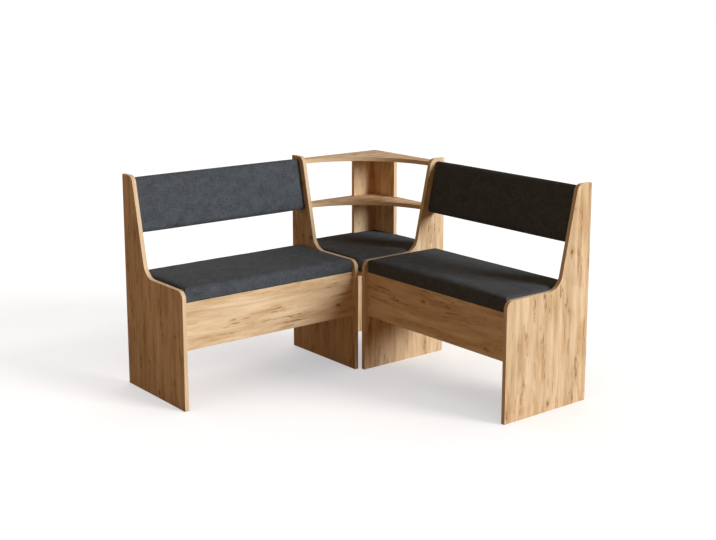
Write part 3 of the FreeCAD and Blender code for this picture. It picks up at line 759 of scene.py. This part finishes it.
@dataclass
class Board:
    """A laminated board with eased edges, in its solid's place."""

    workshop: Workshop
    node: str
    finish: Material
    slot: str = "oak_board"
    raw: Sequence[Vector] = ()
    body: str = "bench"
    arris: float = 0.0006
    shortest: float = 0.0024
    sharp: float = math.radians(30)
    touching: float = 0.00015
    looked_at: Triple = (0.1, 0.5, 0.9)
    square: float = 0.060
    facing: float = 0.9

    def eased_edges(self, shape: Shape) -> list[bmesh.types.BMEdge]:
        """Picks the sharp edges that lie against no other piece, and leaves the rims of bores.

        Args:
            shape: The board's merged shape.

        Returns:
            The edges.
        """
        others = [name for name in self.workshop.surfaces if name != self.node]
        picked = []
        for edge in shape.edges:
            if len(edge.link_faces) != 2 or edge.calc_length() < self.shortest:
                continue
            if edge.calc_face_angle_signed(0.0) < self.sharp:
                continue
            first, last = (vertex.co for vertex in edge.verts)
            points = [first.lerp(last, share) for share in self.looked_at]
            if not any(self.workshop.touches(others, point, self.touching) for point in points):
                picked.append(edge)
        return picked

    def shape(self) -> Shape:
        """The board with its free edges eased, and its bare faces marked."""
        shape = merged_copy(self.node)
        edges = self.eased_edges(shape)
        if edges:
            ease(shape, edges, self.arris)
        for axis in (X, Y, Z):
            cut_in_rows(shape, axis, self.square)
        shape.normal_update()
        for face in shape.faces:
            face.material_index = int(any(face.normal.dot(way) > self.facing for way in self.raw))
        return shape

    def build(self) -> Thing:
        """Makes the board and puts it in its solid's place."""
        made = finished(self.shape(), f"{self.node}_dressed", self.finish, self.workshop.chipboard)
        smooth_arcs(made)
        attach(made, self.body)
        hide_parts(self.node)
        log.info("%s: %d faces", made.name, len(made.data.polygons))
        return made


@dataclass
class Band(Board):
    """An edge band, whose print follows its run round the board."""

    slot: str = "edge_band"
    path: Sequence[Vector] = ()
    across: Vector = field(default_factory=lambda: X.copy())

    def run_at(self, point: Vector) -> float:
        """How far along the band a point lies.

        Args:
            point: A point of the band.

        Returns:
            The distance along its path.
        """
        best, run, done = math.inf, 0.0, 0.0
        for start, end in zip(self.path, self.path[1:]):
            _, share = intersect_point_line(point, start, end)
            share = min(max(share, 0.0), 1.0)
            gap = (point - start.lerp(end, share)).length
            if gap < best:
                best, run = gap, done + share * (end - start).length
            done += (end - start).length
        return run

    def shape(self) -> Shape:
        """The band, with its run kept as an attribute."""
        shape = super().shape()
        run = shape.verts.layers.float_vector.new("run")
        for vertex in shape.verts:
            vertex[run] = Vector((self.run_at(vertex.co), vertex.co.dot(self.across), 0.0))
        return shape


@dataclass
class SidePanel:
    """A side panel and the band along its front and top edges."""

    workshop: Workshop
    side: Side
    place: str
    shift: Triple
    seat_line: float = 0.436
    knee_depth: float = 0.150

    def outline(self) -> list[Vector]:
        """The corners that the band passes, from the front foot to the top rear, unrounded."""
        low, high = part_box(f"left_{self.place}_panel_band")
        knee = high.y - self.knee_depth
        top = knee + (high.z - self.seat_line) * math.tan(BACKREST_LEAN)
        corners = (
            (low.y, low.z),
            (low.y, self.seat_line),
            (knee, self.seat_line),
            (top, high.z),
            (high.y, high.z),
        )
        return [self.side.swap @ Vector((low.x, y, z)) for y, z in corners]

    def build(self) -> None:
        """Makes the panel and its band."""
        shop, swap = self.workshop, self.side.swap
        node = f"{self.side.value}_{self.place}_panel"
        finish = oak(node, Grain.UPRIGHT_ACROSS_Y.for_side(self.side), self.shift)
        Board(shop, node, finish, raw=(swap @ Y, -Z)).build()
        Band(shop, f"{node}_band", shop.band, path=self.outline(), across=swap @ X).build()


@dataclass
class StorageBox:
    """The boards between a bench's side panels: apron, rear rail and storage floor."""

    workshop: Workshop
    side: Side
    shift: Triple

    def board(self, name: str, cut: Grain, step: float, raw: Sequence[Vector] = ()) -> None:
        """Makes one board.

        Args:
            name: The board's name without its side.
            cut: How it would be cut on the left bench.
            step: How far along the print it starts.
            raw: The directions that its bare edges face on the left bench.
        """
        node = f"{self.side.value}_{name}"
        along, across, through = self.shift
        finish = oak(node, cut.for_side(self.side), (along + step, across + step / 2, through))
        Board(self.workshop, node, finish, raw=[self.side.swap @ way for way in raw]).build()

    def build(self) -> None:
        """Makes the boards and the apron's bands."""
        self.board("apron", Grain.STANDING_ALONG_X, 0.0)
        self.board("rear_rail", Grain.STANDING_ALONG_X, 1.7, (Z, -Z))
        self.board("storage_floor", Grain.FLAT_ALONG_X, 3.1)
        shop, swap = self.workshop, self.side.swap
        low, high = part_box("left_apron_band")
        path = [swap @ Vector((x, low.y, low.z)) for x in (low.x, high.x)]
        Band(shop, f"{self.side.value}_apron_band", shop.band, path=path, across=swap @ Y).build()


@dataclass
class Hem:
    """The rim of a cover, turned over its board's bare face and stapled down.

    The cloth lies tight up to its staples and puckers between them, and was cut by hand. Each
    staple sits a little askew and off its line: how quickly that changes, and by how much.
    """

    workshop: Workshop
    name: str
    body: str
    edges: Sequence[tuple[Vector, Vector]]
    under: Vector
    mitre: float
    width: float
    staple_line: float
    lift: float
    around: Sequence[str] = ()
    thick: float = 0.0003
    cell: float = 0.004
    cut_wave: float = 0.045
    uneven: float = 0.0016
    straight: float = 1.1
    tight: float = 0.9
    least_lift: float = 0.15
    pitch: float = 0.042
    crown: Triple = (0.010, 0.0012, 0.0006)
    proud: float = 0.35
    rounding: float = 0.45
    askew: Range = (90.0, 0.5)
    astray: Range = (70.0, 0.003)

    def directions(self, start: Vector, end: Vector) -> tuple[Vector, Vector, float]:
        """An edge's direction, the way in from it, and its length.

        Args:
            start: One end of the edge.
            end: Its other end.

        Returns:
            Two unit vectors and the length.
        """
        run = end - start
        middle = sum((point for edge in self.edges for point in edge), Vector()) / (2 * len(self.edges))
        inward = self.under.cross(run).normalized()
        if inward.dot(middle - start) < 0:
            inward.negate()
        return run.normalized(), inward, run.length

    def staple_places(self, length: float) -> tuple[float, float, int]:
        """Where an edge's first staple is, how far apart they are, and how many there are."""
        margin = self.mitre * self.staple_line
        count = max(2, round((length - 2 * margin) / self.pitch))
        step = (length - 2 * margin) / count
        return margin + step / 2, step, count

    def strip(self, shape: Shape, start: Vector, end: Vector) -> set[bmesh.types.BMFace]:
        """Lays the cloth along one edge.

        Args:
            shape: The cover's mesh, which gets the strip.
            start: One end of the edge.
            end: Its other end.

        Returns:
            The strip's faces, without those where it is cut round a fitting.
        """
        along, inward, length = self.directions(start, end)
        columns, rows = round(length / self.cell), round(self.width / self.cell)
        made = bmesh.ops.create_grid(shape, x_segments=columns, y_segments=rows, size=0.5)
        first, step, _ = self.staple_places(length)
        tight = self.staple_line * self.tight
        for vertex in made["verts"]:
            run, deep = (vertex.co.x + 0.5) * length, vertex.co.y + 0.5
            from_end = min(run, length - run) / self.width
            ragged = noise.noise((start + along * run) / self.cut_wave)
            ragged *= min(max(from_end - self.straight, 0.0), 1.0)
            inset = deep * (self.width + ragged * self.uneven)
            run = min(max(run, self.mitre * inset), length - self.mitre * inset)
            loose = max(0.0, inset - tight) / (self.width - tight)
            pucker = 0.5 - 0.5 * math.cos(2 * math.pi * (run - first) / step)
            loose *= self.least_lift + (1 - self.least_lift) * pucker
            vertex.co = start + along * run + inward * inset + self.under * self.lift * loose
        laid = {face for vertex in made["verts"] for face in vertex.link_faces}
        cut = []
        for face in laid:
            run = (face.calc_center_median() - start).dot(along)
            middle = start + along * run + inward * self.width / 2
            if self.workshop.touches(self.around, middle, self.cell):
                cut.append(face)
        laid.difference_update(cut)
        bmesh.ops.delete(shape, geom=cut, context="FACES")
        return laid

    def turn_under(self, cover: Thing) -> None:
        """Adds the hem to a cover's mesh: one cloth, sewn up along its mitres.

        Args:
            cover: The cover.
        """
        shape = bmesh.new()
        shape.from_mesh(cover.data)
        laid = set().union(*(self.strip(shape, start, end) for start, end in self.edges))
        rim = list({vertex for face in laid for vertex in face.verts})
        bmesh.ops.remove_doubles(shape, verts=rim, dist=10 * SAME_POINT)
        laid = {face for face in laid if face.is_valid}
        thick = bmesh.ops.extrude_face_region(shape, geom=list(laid))["geom"]
        moved = [piece for piece in thick if isinstance(piece, bmesh.types.BMVert)]
        bmesh.ops.translate(shape, verts=moved, vec=self.under * self.thick)
        closed = laid | {face for vertex in moved for face in vertex.link_faces}
        bmesh.ops.recalc_face_normals(shape, faces=list(closed))
        shape.to_mesh(cover.data)
        shape.free()

    def staples(self) -> Thing:
        """Drives a row of flat wire staples along every edge, but not into fittings."""
        shape = bmesh.new()
        wide, tall, thick = self.crown
        for start, end in self.edges:
            along, inward, length = self.directions(start, end)
            first, step, count = self.staple_places(length)
            for number in range(count):
                centre = start + along * (first + number * step) + inward * self.staple_line
                if self.workshop.touches(self.around, centre, wide):
                    continue
                skew = noise.noise(centre * self.askew[0]) * self.askew[1]
                way = (along + inward * skew).normalized()
                side = self.under.cross(way)
                stray = inward * noise.noise(centre * self.astray[0]) * self.astray[1]
                centre += stray + self.under * (self.thick + thick * self.proud)
                axes = Matrix((way * wide, side * tall, self.under * thick)).transposed().to_4x4()
                bmesh.ops.create_cube(shape, size=1.0, matrix=Matrix.Translation(centre) @ axes)
        bmesh.ops.recalc_face_normals(shape, faces=shape.faces)
        ease(shape, shape.edges, thick * self.rounding)
        steel = self.workshop.fittings["zinc_plated_screw"]
        made = finished(shape, f"{self.name}_staples", steel)
        smooth_arcs(made, angle=40.0)
        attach(made, self.body)
        log.info("%s: %d faces", made.name, len(made.data.polygons))
        return made


@dataclass
class Pad:
    """A soft pad: foam under stretched fabric, swollen by air pressure from its solid's shape."""

    workshop: Workshop
    node: str
    board: str
    body: str
    out: Vector
    along: Vector
    rise: float
    fill: float
    bulge: float = 0.0007
    side_room: float = 0.0007
    pitch: float = 0.0085
    base: float = 0.0012
    touching: float = 0.0009
    waves: float = 0.0006
    wave_length: float = 0.070
    ripple: float = 0.4
    ripple_length: float = 0.02
    frames: int = 16
    pressure: float = 0.4
    hem: Hem | None = None

    @property
    def axes(self) -> tuple[Vector, Vector, Vector]:
        """The pad's own directions: along it, across it and out of its face."""
        return self.along, self.out.cross(self.along), self.out

    def blank(self) -> Shape:
        """The pad's solid, cut into a regular net that cloth can bend."""
        shape = merged_copy(self.node)
        for axis in self.axes:
            cut_in_rows(shape, axis, self.pitch, 2)
        return shape

    def held(self, points: Sequence[Vector]) -> list[int]:
        """The points that are stapled down: those against the board and along the rear rim.

        Args:
            points: The pad's points.

        Returns:
            Their numbers.
        """
        rim = min(point.dot(self.out) for point in points) + self.base
        return [
            number
            for number, point in enumerate(points)
            if point.dot(self.out) < rim or self.workshop.touches([self.board], point, self.touching)
        ]

    def inflate(self, made: Thing, held: Iterable[int]) -> list[Vector]:
        """Blows the cloth up and reads where its points end.

        Args:
            made: The pad.
            held: The numbers of the points that stay.

        Returns:
            The points after the last frame.
        """
        group = made.vertex_groups.new(name="stapled")
        group.add(list(held), 1.0, "REPLACE")
        cloth = made.modifiers.new("cloth", "CLOTH")
        for name, value in FABRIC_STRETCH.items():
            setattr(cloth.settings, name, value)
        cloth.settings.uniform_pressure_force = self.pressure
        cloth.settings.vertex_group_mass = group.name
        cloth.settings.effector_weights.gravity = 0.0
        cloth.point_cache.frame_start = 1
        cloth.point_cache.frame_end = self.frames
        scene = bpy.context.scene
        for number in range(1, self.frames + 1):
            scene.frame_set(number)
        graph = bpy.context.evaluated_depsgraph_get()
        moved = [vertex.co.copy() for vertex in made.evaluated_get(graph).data.vertices]
        made.modifiers.remove(cloth)
        made.vertex_groups.remove(group)
        scene.frame_set(1)
        return moved

    def settle(self, made: Thing, moved: Sequence[Vector], held: set[int]) -> None:
        """Caps how far the cloth went each way, and adds the slow waves of hand-laid foam.

        Args:
            made: The pad.
            moved: Where the cloth went.
            held: The numbers of the points that stay.
        """
        caps = tuple(zip(self.axes, (self.side_room, self.bulge, self.rise)))
        vertices = made.data.vertices
        facing = [max(0.0, vertex.normal.dot(self.out)) for vertex in vertices]
        for number, (vertex, end) in enumerate(zip(vertices, moved)):
            if number in held:
                continue
            start = vertex.co.copy()
            step = end - start
            wave = noise.noise(start / self.wave_length)
            wave += self.ripple * noise.noise(start / self.ripple_length)
            end = start + self.out * facing[number] * wave * self.waves
            for axis, cap in caps:
                end += axis * cap * math.tanh(step.dot(axis) / cap)
            vertex.co = end

    def unfold(self, made: Thing) -> None:
        """Lays the weave over the pad as one sheet that turns down over its edges.

        Args:
            made: The pad.
        """
        mesh = made.data
        weave = mesh.uv_layers.new(name="weave")
        along, across, out = self.axes
        top = max(vertex.co.dot(out) for vertex in mesh.vertices)
        for face in mesh.polygons:
            tilt = [face.normal.dot(axis) for axis in self.axes]
            strongest = max(range(3), key=lambda axis: abs(tilt[axis]))
            for loop in face.loop_indices:
                point = mesh.vertices[mesh.loops[loop].vertex_index].co
                spot = [point.dot(along), point.dot(across)]
                if strongest < 2:
                    spot[strongest] += math.copysign(top - point.dot(out), tilt[strongest])
                weave.data[loop].uv = spot

    def build(self) -> Thing:
        """Makes the pad in its solid's place."""
        made = finished(self.blank(), f"{self.node}_padded", self.workshop.fabric)
        points = [vertex.co.copy() for vertex in made.data.vertices]
        held = self.held(points)
        moved = self.inflate(made, held)
        self.settle(made, moved, set(held))
        if self.hem is not None:
            self.hem.turn_under(made)
            self.hem.staples()
        self.unfold(made)
        made.data.polygons.foreach_set("use_smooth", [True] * len(made.data.polygons))
        rounder = made.modifiers.new("rounder", "SUBSURF")
        rounder.levels = rounder.render_levels = 1
        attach(made, self.body)
        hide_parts(self.node)
        log.info("%s: %d points, %d held", made.name, len(points), len(held))
        return made


@dataclass
class Upholstering:
    """The padded lid and the padded backrest of one bench."""

    workshop: Workshop
    side: Side

    def board(self, name: str, body: str) -> None:
        """A bare board under a pad."""
        node = f"{self.side.value}_{name}"
        Board(self.workshop, node, self.workshop.chipboard, "raw_chipboard", body=body).build()

    def seat_hem(self) -> Hem:
        """The seat cover's hem, mitred at the corners and cut out round the hinges."""
        name = f"{self.side.value}_seat"
        low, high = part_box(f"{name}_pad")
        places = ((low.x, low.y), (high.x, low.y), (high.x, high.y), (low.x, high.y))
        corners = [Vector((x, y, low.z)) for x, y in places]
        edges = list(zip(corners, corners[1:] + corners[:1]))
        around = (f"{self.side.value}_hinge_lid_leaves",)
        sizes = {"mitre": 1.0, "width": 0.035, "staple_line": 0.026, "lift": 0.0012}
        return Hem(self.workshop, name, self.side.lid, edges, -Z, around=around, **sizes)

    def back_hem(self, leaning: Vector) -> Hem:
        """The backrest cover's hem, along the upper and lower edges of the board's rear.

        Args:
            leaning: The way the backrest faces.

        Returns:
            The hem.
        """
        name = f"{self.side.value}_back"
        along = self.side.swap @ X
        up = leaning.cross(along)
        if up.z < 0:
            up.negate()
        points = [vertex.co for vertex in frame["nodes"][f"{name}_pad"].data.vertices]
        ends, heights, depths = (
            (min(point.dot(axis) for point in points), max(point.dot(axis) for point in points))
            for axis in (along, up, leaning)
        )
        rear = leaning * depths[0]
        edges = [tuple(along * end + up * height + rear for end in ends) for height in heights]
        sizes = {"mitre": 0.0, "width": 0.020, "staple_line": 0.0125, "lift": 0.0006}
        return Hem(self.workshop, name, "bench", edges, -leaning, **sizes)

    def build(self) -> None:
        """Makes the boards and the pads."""
        swap, name, lid = self.side.swap, self.side.value, self.side.lid
        along = swap @ X
        leaning = swap @ Vector((0.0, -math.cos(BACKREST_LEAN), math.sin(BACKREST_LEAN)))
        self.board("seat_board", lid)
        self.board("back_board", "bench")
        nodes = f"{name}_seat_pad", f"{name}_seat_board"
        sizes = {"rise": 0.005, "fill": 0.75, "bulge": 0.0035}
        Pad(self.workshop, *nodes, lid, Z, along, **sizes, hem=self.seat_hem()).build()
        nodes = f"{name}_back_pad", f"{name}_back_board"
        sizes = {"rise": 0.004, "fill": 0.7, "bulge": 0.0025}
        Pad(self.workshop, *nodes, "bench", leaning, along, **sizes, hem=self.back_hem(leaning)).build()


@dataclass
class Corner:
    """The corner seat, the posts and the shelves."""

    workshop: Workshop
    hollow: float = 0.370
    arc_steps: int = 24

    def posts(self) -> None:
        """The two upright boards in the wall corner, and their bands."""
        for name, cut, wall, shift in (
            ("corner_left_post", Grain.UPRIGHT_ACROSS_X, X, (0.4, 0.61, 0.0)),
            ("corner_right_post", Grain.UPRIGHT_ACROSS_Y, Y, (2.3, 3.37, 0.0)),
        ):
            Board(self.workshop, name, oak(name, cut, shift), raw=(wall, -Z)).build()
        low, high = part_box("corner_post_bands")
        path = [Vector((low.x, low.y, z)) for z in (low.z, high.z)]
        across = (X + Y).normalized()
        Band(self.workshop, "corner_post_bands", self.workshop.band, path=path, across=across).build()

    def shelves(self) -> None:
        """The two shelves and the bands round their hollow front edges."""
        turns = [math.pi / 2 * number / self.arc_steps for number in range(self.arc_steps + 1)]
        shifts = {"corner_top_shelf": (1.1, 0.25, 0.0), "corner_middle_shelf": (4.2, 1.9, 0.0)}
        for name, shift in shifts.items():
            finish = oak(name, Grain.FLAT_ALONG_X, shift)
            Board(self.workshop, name, finish, raw=(X, Y)).build()
            centre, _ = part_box(name)
            ways = (Vector((math.cos(turn), math.sin(turn), 0.0)) for turn in turns)
            path = [Vector(centre) + way * self.hollow for way in ways]
            Band(self.workshop, f"{name}_band", self.workshop.band, path=path, across=Z).build()

    def seat(self) -> None:
        """The corner seat's board and pad."""
        name = "corner_seat_board"
        Board(self.workshop, name, oak(name, Grain.FLAT_ALONG_Y, (0.9, 2.2, 0.0)), raw=(X, Y)).build()
        Pad(self.workshop, "corner_seat_pad", name, "bench", Z, X, rise=0.004, fill=0.7).build()

    def build(self) -> None:
        """Makes the corner."""
        self.posts()
        self.shelves()
        self.seat()


@dataclass(frozen=True)
class Lamp:
    """A broad soft lamp, far away, with the degrees of sky that it fills."""

    name: str
    way: Triple
    colour: Colour
    strength: float
    spread: float

    def build(self) -> None:
        """Hangs the lamp up."""
        light = bpy.data.lights.new(self.name, "SUN")
        light.color = self.colour
        light.energy = self.strength
        light.angle = math.radians(self.spread)
        lamp = bpy.data.objects.new(self.name, light)
        lamp.rotation_euler = Vector(self.way).to_track_quat("Z", "Y").to_euler()
        bpy.context.scene.collection.objects.link(lamp)


@dataclass
class Stage:
    """The plain white floor, the background and the lamps."""

    floor_size: float = 60.0
    floor_colour: Colour = (0.60, 0.53, 0.45)
    floor_bounce: Colour = (0.42, 0.31, 0.21)
    floor_glow: Colour = (0.73, 0.77, 0.81)
    # Painted shade: near the bench the floor's glow drops to this share of its strength, within this
    # reach.
    painted_shade_glow: float = 0.50
    painted_shade_reach: float = 0.9
    ambient: Colour = (0.208, 0.140, 0.085)
    backdrop: Colour = (1.0, 1.0, 1.0)
    lamps: tuple[Lamp, ...] = (
        Lamp("key_lamp", (0.50, -1.0, 0.38), (0.965, 1.045, 1.14), 3.30, 26),
        Lamp("rear_lamp", (0.8, 1.0, 0.12), (1.0, 0.88, 0.74), 1.05, 70),
        Lamp("fill_lamp", (-1.0, 0.1, 0.12), (1.0, 0.86, 0.70), 0.15, 50),
    )

    def seen(self, nodes: Nodes) -> Socket:
        """Whether a ray shows the surface to the eye, straight, in a gloss or through glass."""
        rays = nodes.node("LightPath", {}).outputs
        either = nodes.maths("MAXIMUM", rays["Is Camera Ray"], rays["Is Glossy Ray"])
        return nodes.maths("MAXIMUM", either, rays["Is Transmission Ray"])

    def background(self) -> None:
        """A world that is white to the eye and dimmer as a light."""
        world = bpy.data.worlds.new("studio")
        bpy.context.scene.world = world
        world.use_nodes = True
        nodes = Nodes(world.node_tree)
        colour = nodes.mix(self.seen(nodes), self.ambient, self.backdrop)
        sky = nodes.node("Background", {"Color": colour})
        nodes.node("OutputWorld", {"Surface": sky.outputs["Background"]})

    def floor(self) -> None:
        """A pale floor that keeps the bench's shadow, adds painted shade near it, and fades into the
        white background.
        """
        shape = bmesh.new()
        bmesh.ops.create_grid(shape, x_segments=1, y_segments=1, size=self.floor_size / 2)
        shading = Shading("studio_floor")
        # Painted shade: ambient occlusion dims the floor's glow where the bench is near, under and
        # beside it.
        painted_shade_ao = shading.node("AmbientOcclusion", {"Distance": self.painted_shade_reach}, samples=16)
        seen = self.seen(shading)
        glow = shading.spread(painted_shade_ao.outputs["AO"], self.painted_shade_glow, 1.0)
        material = shading.dress(
            Base_Color=shading.mix(seen, self.floor_bounce, self.floor_colour),
            Roughness=0.9,
            Specular_IOR_Level=0.0,
            Emission_Color=self.floor_glow,
            Emission_Strength=shading.times(glow, seen),
        )
        finished(shape, "studio_floor", material)

    def build(self) -> None:
        """Sets the stage."""
        bpy.context.scene.view_settings.view_transform = "Standard"
        self.background()
        self.floor()
        for lamp in self.lamps:
            lamp.build()


@dataclass
class Camera:
    """The camera, where the photograph was taken from."""

    place: Triple = (-2.6695, -3.3795, 1.5106)
    heading: float = math.radians(38.52)
    pitch: float = math.radians(10.67)
    lens: float = 61.17
    shift_x: float = 0.0020
    shift_y: float = -0.09

    def build(self) -> None:
        """Puts the camera up."""
        data = bpy.data.cameras.new("camera")
        data.lens = self.lens
        data.shift_x = self.shift_x
        data.shift_y = self.shift_y
        camera = bpy.data.objects.new("camera", data)
        camera.location = self.place
        camera.rotation_euler = (math.pi / 2 - self.pitch, 0.0, -self.heading)
        bpy.context.scene.collection.objects.link(camera)
        bpy.context.scene.camera = camera


def dress_fittings(workshop: Workshop) -> None:
    """Gives the solids that stay as they are their finishes.

    Args:
        workshop: The finishes.
    """
    for part in frame["record"]["subparts"]:
        finish = workshop.fittings.get(part["material_slot"])
        if finish is None:
            continue
        thing = frame["nodes"][part["node"]]
        thing.data.materials.clear()
        thing.data.materials.append(finish)
        log.info("%s: %s", part["node"], finish.name)


def main() -> None:
    """Builds the camera and the stage, then every piece in order."""
    logging.basicConfig(level=logging.INFO, format="%(message)s")
    workshop = Workshop()
    Camera().build()
    Stage().build()
    for side, shift in ((Side.LEFT, 0.0), (Side.RIGHT, 7.3)):
        SidePanel(workshop, side, "outer", (shift + 0.2, 0.13, 0.0)).build()
        SidePanel(workshop, side, "inner", (shift + 1.9, 1.41, 0.0)).build()
        StorageBox(workshop, side, (shift + 3.3, 0.77, 0.0)).build()
        Upholstering(workshop, side).build()
    Corner(workshop).build()
    dress_fittings(workshop)


if __name__ == "__main__":
    main()
